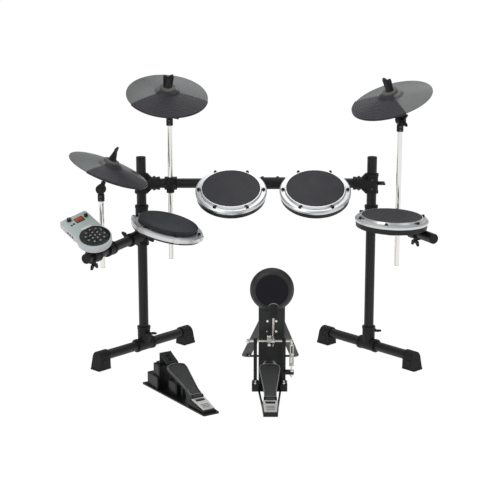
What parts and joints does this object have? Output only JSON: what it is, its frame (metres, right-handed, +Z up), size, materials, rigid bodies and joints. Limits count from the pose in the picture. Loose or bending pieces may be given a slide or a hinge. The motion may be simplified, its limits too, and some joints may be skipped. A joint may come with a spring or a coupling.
{
  "type": "electronic drum kit",
  "caption": "Electronic drum kit on a black tube rack: rubber pads with silver hoops, grey plastic cymbals on chrome rods, sound module, kick tower with beater pedal and hi-hat pedal.",
  "frame": {"origin": "middle of the kit's outline on the floor", "axes": "+X to the player's right, +Y away from the player, +Z up"},
  "size_m": [1.2806, 0.8329, 1.0519],
  "materials": {
    "rack_black": "satin",
    "clamp_black": "fine grain",
    "foot_rubber": "matte",
    "rod_chrome": "polished",
    "tilter_black": "fine grain",
    "cymbal_grey": "satin",
    "cymbal_rubber": "grooved, matte",
    "hoop_silver": "satin chrome",
    "shell_black": "matte",
    "head_rubber": "matte",
    "snare_rubber": "matte",
    "module_silver": "satin",
    "module_mint": "semi gloss",
    "key_grey": "matte",
    "knob_black": "matte",
    "kick_black": "satin",
    "kick_navy": "matte",
    "pedal_black": "satin",
    "heel_silver": "ribbed, brushed",
    "steel": "plated",
    "strap_black": "matte",
    "beater_black": "matte"
  },
  "bodies": {
    "rack": {"rack_tubes": "rack_black", "floor_feet": "foot_rubber", "base_clamps": "clamp_black", "bar_clamps": "clamp_black", "kick_column": "kick_black", "kick_brace": "kick_black", "kick_pad_shell": "shell_black", "kick_pad_face": "kick_navy", "kick_pedal_frame": "pedal_black", "kick_heel_plate": "heel_silver", "kick_spring": "steel", "kick_fittings": "steel", "hihat_pedal_base": "pedal_black", "hihat_heel_plate": "heel_silver"},
    "kick_board": {"kick_footboard": "pedal_black"},
    "kick_pull_strap": {"kick_strap": "strap_black"},
    "kick_beater": {"kick_axle": "steel", "kick_beater_head": "beater_black"},
    "hihat_board": {"hihat_footboard": "pedal_black"},
    "left_arm": {"left_arm_clamp": "clamp_black", "left_arm_tube": "rack_black"},
    "right_arm": {"right_arm_clamp": "clamp_black", "right_arm_tube": "rack_black"},
    "module": {"module_case": "module_silver", "module_face": "module_mint", "module_mount": "clamp_black"},
    "volume": {"volume_knob": "knob_black"},
    "value": {"value_dial": "knob_black"},
    "buttons": {"module_buttons": "key_grey"},
    "crash_stand": {"crash_rod": "rod_chrome", "crash_knuckle": "tilter_black"},
    "crash_pad": {"crash_tilter": "tilter_black", "crash_cymbal": "cymbal_grey", "crash_rubber": "cymbal_rubber"},
    "ride_stand": {"ride_rod": "rod_chrome", "ride_knuckle": "tilter_black"},
    "ride_pad": {"ride_tilter": "tilter_black", "ride_cymbal": "cymbal_grey", "ride_rubber": "cymbal_rubber"},
    "hihat_stand": {"hihat_rod": "rod_chrome", "hihat_knuckle": "tilter_black"},
    "hihat_pad": {"hihat_tilter": "tilter_black", "hihat_cymbal": "cymbal_grey", "hihat_rubber": "cymbal_rubber"},
    "tom_left": {"tom_left_mount": "clamp_black", "tom_left_shell": "shell_black", "tom_left_hoop": "hoop_silver", "tom_left_head": "head_rubber"},
    "tom_right": {"tom_right_mount": "clamp_black", "tom_right_shell": "shell_black", "tom_right_hoop": "hoop_silver", "tom_right_head": "head_rubber"},
    "floor_tom": {"floor_tom_mount": "clamp_black", "floor_tom_shell": "shell_black", "floor_tom_hoop": "hoop_silver", "floor_tom_head": "head_rubber"},
    "snare": {"snare_mount": "clamp_black", "snare_shell": "shell_black", "snare_hoop": "hoop_silver", "snare_head": "snare_rubber"}
  },
  "joints": [
    {"name": "left_arm_swing", "type": "hinge", "parent": "rack", "child": "left_arm", "pos_m": [-0.383, 0.226, 0.458], "axis": [0, 0, 1], "range_deg": [-20, 8]},
    {"name": "right_arm_swing", "type": "hinge", "parent": "rack", "child": "right_arm", "pos_m": [0.444, 0.226, 0.533], "axis": [0, 0, 1], "range_deg": [-8, 20]},
    {"name": "crash_height", "type": "slide", "parent": "rack", "child": "crash_stand", "axis": [0, 0, 1], "range_m": [-0.08, 0.05]},
    {"name": "crash_tilt", "type": "hinge", "parent": "crash_stand", "child": "crash_pad", "pos_m": [-0.277, 0.1975, 0.905], "axis": [0.9671, 0.2545, 0], "range_deg": [-15, 20]},
    {"name": "ride_height", "type": "slide", "parent": "right_arm", "child": "ride_stand", "axis": [0, 0, 1], "range_m": [-0.08, 0.05]},
    {"name": "ride_tilt", "type": "hinge", "parent": "ride_stand", "child": "ride_pad", "pos_m": [0.52923, 0.11626, 0.897], "axis": [0.6376, -0.7704, 0], "range_deg": [-15, 20]},
    {"name": "hihat_height", "type": "slide", "parent": "left_arm", "child": "hihat_stand", "axis": [0, 0, 1], "range_m": [-0.05, 0.03]},
    {"name": "hihat_tilt", "type": "hinge", "parent": "hihat_stand", "child": "hihat_pad", "pos_m": [-0.50826, 0.02865, 0.668], "axis": [0.1311, 0.9914, 0], "range_deg": [-15, 20]},
    {"name": "tom_left_tilt", "type": "hinge", "parent": "rack", "child": "tom_left", "pos_m": [-0.059, 0.226, 0.649], "axis": [1, 0, 0], "range_deg": [-10, 4]},
    {"name": "tom_right_tilt", "type": "hinge", "parent": "rack", "child": "tom_right", "pos_m": [0.235, 0.226, 0.649], "axis": [1, 0, 0], "range_deg": [-10, 4]},
    {"name": "floor_tom_tilt", "type": "hinge", "parent": "right_arm", "child": "floor_tom", "pos_m": [0.57464, -0.04184, 0.533], "axis": [0.4384, -0.8988, 0], "range_deg": [-8, 8]},
    {"name": "snare_swing", "type": "hinge", "parent": "rack", "child": "snare", "pos_m": [-0.383, 0.226, 0.533], "axis": [0, 0, 1], "range_deg": [-10, 5]},
    {"name": "module_tilt", "type": "hinge", "parent": "left_arm", "child": "module", "pos_m": [-0.52669, -0.07662, 0.458], "axis": [-0.4289, -0.9033, 0], "range_deg": [-10, 10]},
    {"name": "volume_turn", "type": "hinge", "parent": "module", "child": "volume", "pos_m": [-0.60973, -0.06207, 0.57655], "axis": [0.004, -0.4522, 0.8919], "range_deg": [-140, 140]},
    {"name": "value_turn", "type": "hinge", "parent": "module", "child": "value", "pos_m": [-0.55479, -0.04067, 0.58715], "axis": [0.004, -0.4522, 0.8919], "continuous": true},
    {"name": "buttons_press", "type": "slide", "parent": "module", "child": "buttons", "axis": [0.004, -0.4522, 0.8919], "range_m": [-0.0012, 0], "stiffness_N_per_m": 600, "springref_m": 0.0008},
    {"name": "footboard_press", "type": "hinge", "parent": "rack", "child": "kick_board", "pos_m": [0.074, -0.338, 0.033], "axis": [1, 0, 0], "range_deg": [-6.6, 0], "stiffness_Nm_per_rad": 20, "springref_deg": 11.46},
    {"name": "beater_swing", "type": "hinge", "parent": "rack", "child": "kick_beater", "pos_m": [0.074, -0.149, 0.175], "axis": [1, 0, 0], "range_deg": [-41.58, 0], "deforming": ["kick_spring"]},
    {"name": "strap_swing", "type": "hinge", "parent": "kick_board", "child": "kick_pull_strap", "pos_m": [0.072, -0.17838, 0.11064], "axis": [1, 0, 0], "range_deg": [0, 11.15]},
    {"name": "hihat_press", "type": "hinge", "parent": "rack", "child": "hihat_board", "pos_m": [-0.17004, -0.31552, 0.034], "axis": [0.8504, 0.5262, 0], "range_deg": [-8, 0], "stiffness_Nm_per_rad": 15, "springref_deg": 11.46}
  ],
  "couplings": [
    {"joint": "beater_swing", "follows": "footboard_press", "ratio": 6.3},
    {"joint": "strap_swing", "follows": "footboard_press", "ratio": -1.69}
  ]
}
